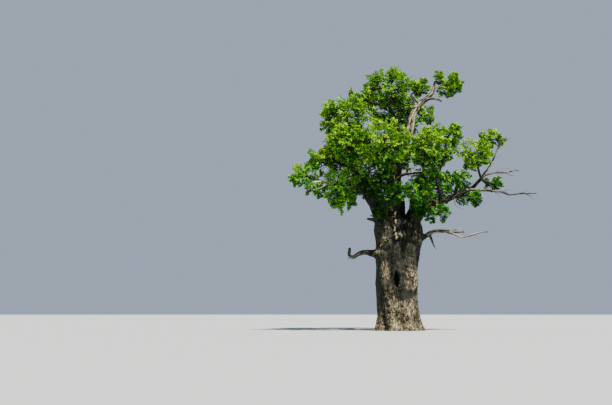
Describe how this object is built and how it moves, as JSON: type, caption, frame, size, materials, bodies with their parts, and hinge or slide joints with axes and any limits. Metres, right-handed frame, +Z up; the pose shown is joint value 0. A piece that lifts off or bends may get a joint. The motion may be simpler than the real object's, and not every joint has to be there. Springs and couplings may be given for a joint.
{
  "type": "oak tree",
  "caption": "Old field oak in summer leaf: very thick fluted trunk with a hollow, heavy forked boughs, dead bare limbs and a broad crown of separate leafy masses.",
  "frame": {"origin": "on the flat cut under the trunk, at ground level, midway across the trunk", "axes": "+Z up the trunk, +X to the right and -Y towards the viewer in the pictured view"},
  "size_m": [12.1154, 7.8363, 13.3645],
  "materials": {
    "bark": "deeply furrowed grey-brown bark, matt",
    "bare_wood": "weathered grey dead wood, barkless, matt",
    "foliage": "fresh green lobed leaves, satin"
  },
  "bodies": {
    "root": {"bough_back": "bark", "bough_back_left": "bark", "bough_back_right": "bark", "bough_front": "bark", "bough_front_left": "bark", "bough_front_right": "bark", "bough_left": "bark", "bough_left_front": "bark", "bough_left_low": "bark", "bough_left_out": "bark", "bough_left_top": "bark", "bough_right": "bark", "bough_right_inner": "bark", "bough_right_middle": "bark", "bough_right_outer": "bark", "bough_top": "bark", "dead_left_fork": "bare_wood", "dead_low_left": "bare_wood", "dead_low_right": "bare_wood", "dead_right_high": "bare_wood", "dead_right_long": "bare_wood", "dead_right_riser": "bare_wood", "dead_spur": "bare_wood", "dead_stub_left": "bare_wood", "foliage_back": "foliage", "foliage_back_far_left": "foliage", "foliage_back_left": "foliage", "foliage_back_left_low": "foliage", "foliage_back_right": "foliage", "foliage_back_right_low": "foliage", "foliage_back_top": "foliage", "foliage_far_left": "foliage", "foliage_far_left_upper": "foliage", "foliage_fork": "foliage", "foliage_front": "foliage", "foliage_front_left": "foliage", "foliage_inner_left": "foliage", "foliage_leader_side": "foliage", "foliage_low_left": "foliage", "foliage_low_left_outer": "foliage", "foliage_low_right": "foliage", "foliage_low_right_front": "foliage", "foliage_mid_left": "foliage", "foliage_right_centre": "foliage", "foliage_right_inner": "foliage", "foliage_right_lower": "foliage", "foliage_right_outer": "foliage", "foliage_right_tip": "foliage", "foliage_right_top": "foliage", "foliage_right_under": "foliage", "foliage_right_upper": "foliage", "foliage_top": "foliage", "foliage_top_left": "foliage", "foliage_top_right": "foliage", "foliage_trunk_tuft": "foliage", "foliage_upper_left": "foliage", "fork_left": "bare_wood", "fork_right": "bare_wood", "leader": "bark", "trunk": "bark"}
  },
  "joints": []
}
